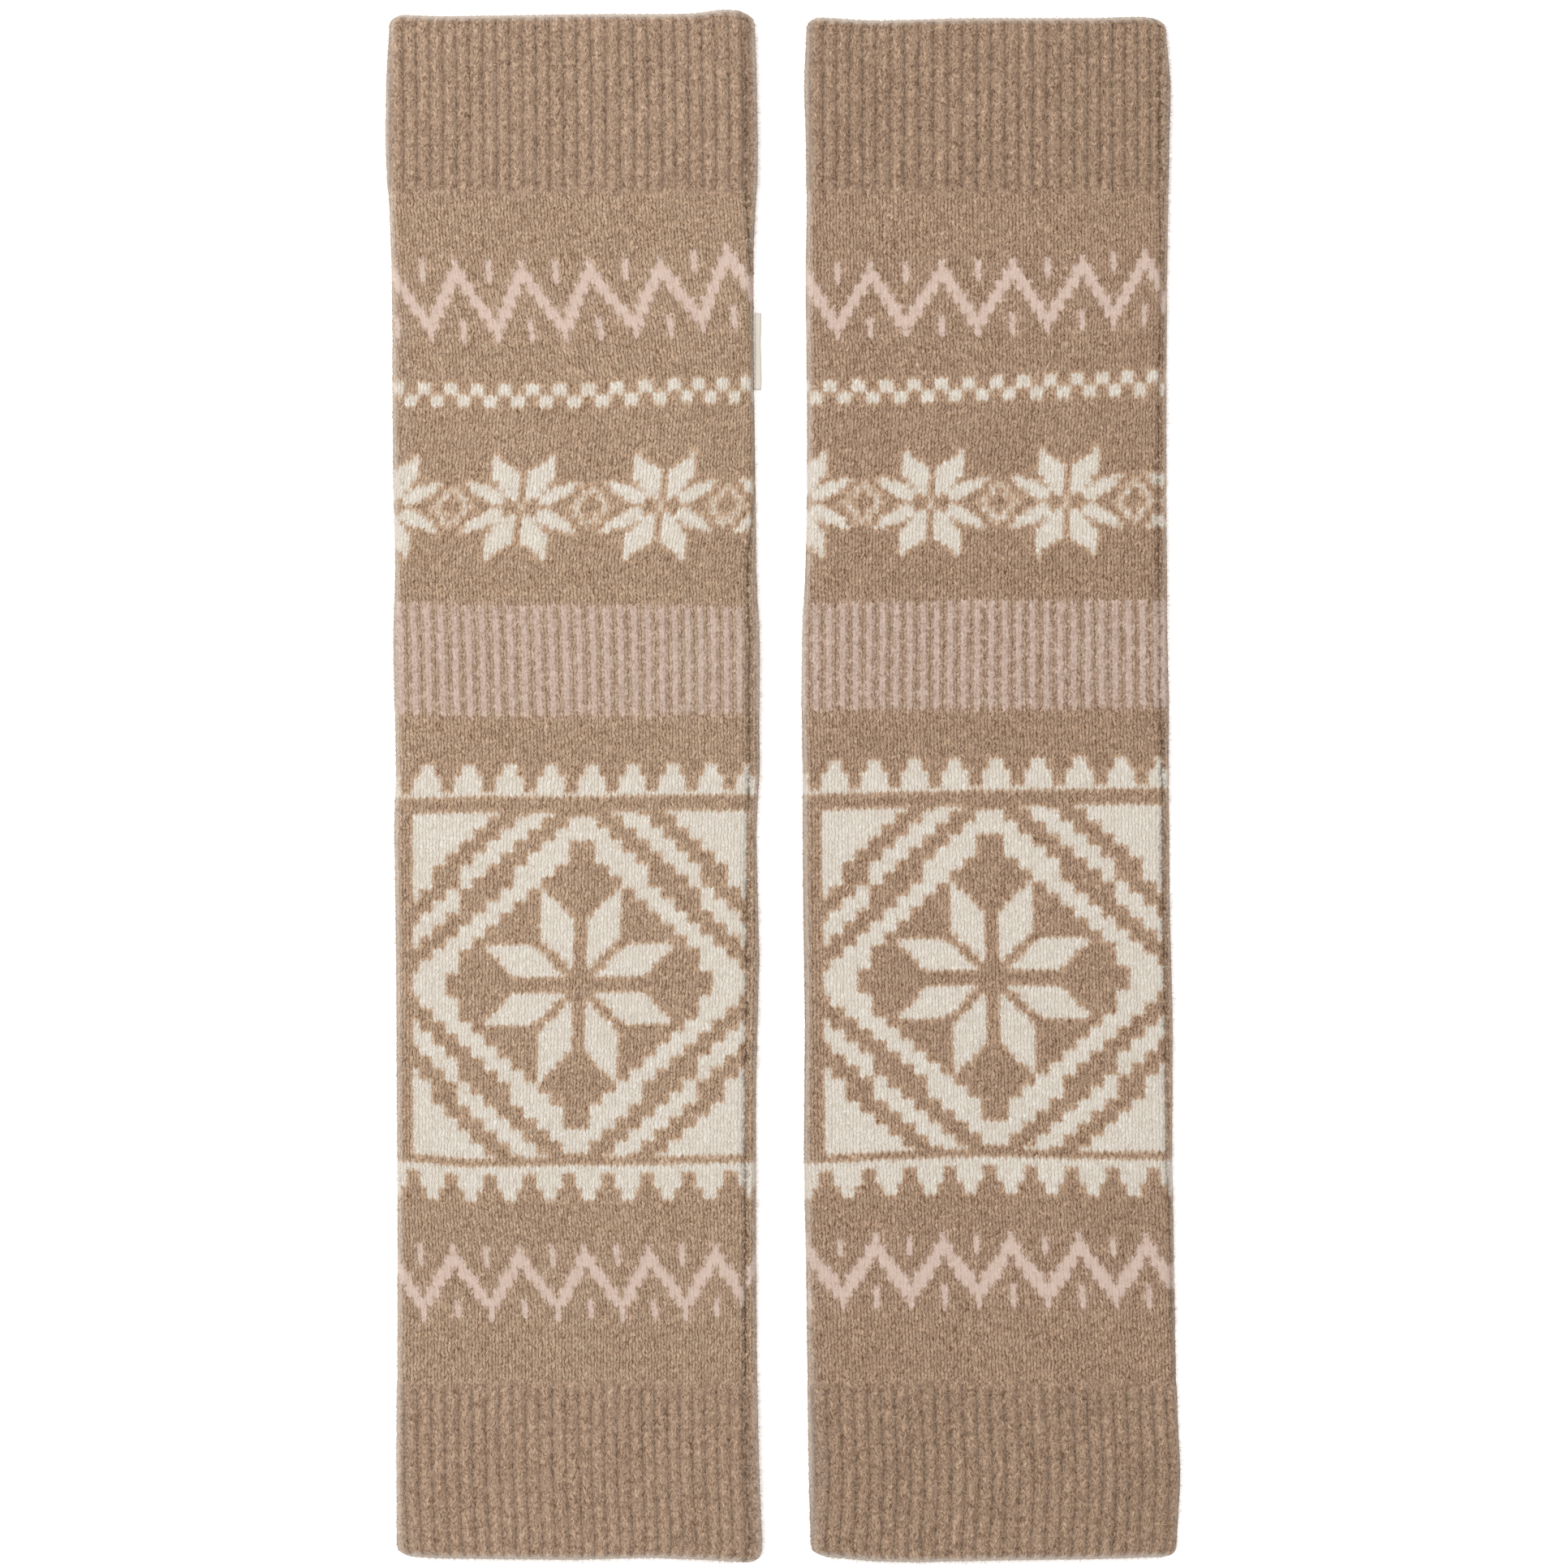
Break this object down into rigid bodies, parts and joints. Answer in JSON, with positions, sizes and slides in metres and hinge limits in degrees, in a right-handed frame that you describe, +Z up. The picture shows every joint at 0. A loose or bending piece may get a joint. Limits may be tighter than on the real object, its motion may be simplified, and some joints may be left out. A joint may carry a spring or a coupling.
{
  "type": "pair of arm warmers",
  "caption": "Pair of long knitted arm warmers laid flat: straight open tubes with ribbed cuffs, banded two-colour knit and a small side label.",
  "frame": {"origin": "on the surface that the pair lies on, under the middle of the pair's box", "axes": "+X across the pair to the right, +Y along the warmers towards the upper cuffs, +Z up from the surface"},
  "size_m": [0.2206, 0.431, 0.0049],
  "materials": {
    "rib_knit": "brushed 1x1 rib, camel wool",
    "jacquard_knit": "brushed stocking stitch with cream and pink bands",
    "woven_label": "plain woven tape"
  },
  "bodies": {
    "root": {"left_upper_cuff_front": "rib_knit", "left_upper_cuff_back": "rib_knit", "left_body_front": "jacquard_knit", "left_body_back": "jacquard_knit", "left_lower_cuff_front": "rib_knit", "left_lower_cuff_back": "rib_knit", "left_side_label": "woven_label", "right_upper_cuff_front": "rib_knit", "right_upper_cuff_back": "rib_knit", "right_body_front": "jacquard_knit", "right_body_back": "jacquard_knit", "right_lower_cuff_front": "rib_knit", "right_lower_cuff_back": "rib_knit"}
  },
  "joints": []
}
